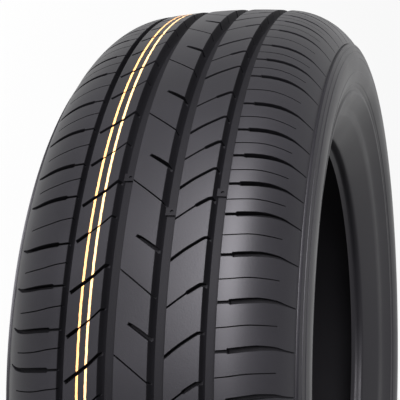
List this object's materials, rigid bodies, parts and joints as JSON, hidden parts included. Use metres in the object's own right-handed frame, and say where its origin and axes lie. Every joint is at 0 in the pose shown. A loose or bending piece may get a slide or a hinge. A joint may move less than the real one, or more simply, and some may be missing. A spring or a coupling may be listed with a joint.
{
  "type": "car tyre",
  "caption": "Radial tubeless passenger car tyre with an asymmetric ribbed summer tread, open in the middle for a wheel rim.",
  "frame": {"origin": "Centre of the wheel: on the axle, halfway between the two sidewalls.", "axes": "+Z runs along the axle, up through the sidewall that carries the narrower pitches; the tyre lies on its other sidewall. -Y is the front, where the pictured tread faces the camera, and +X is the picture's down."},
  "size_m": [0.632, 0.632, 0.2158],
  "materials": {
    "rubber": "matt black rubber, slightly bloomed"
  },
  "bodies": {
    "root": {"tyre": "rubber"}
  },
  "joints": []
}
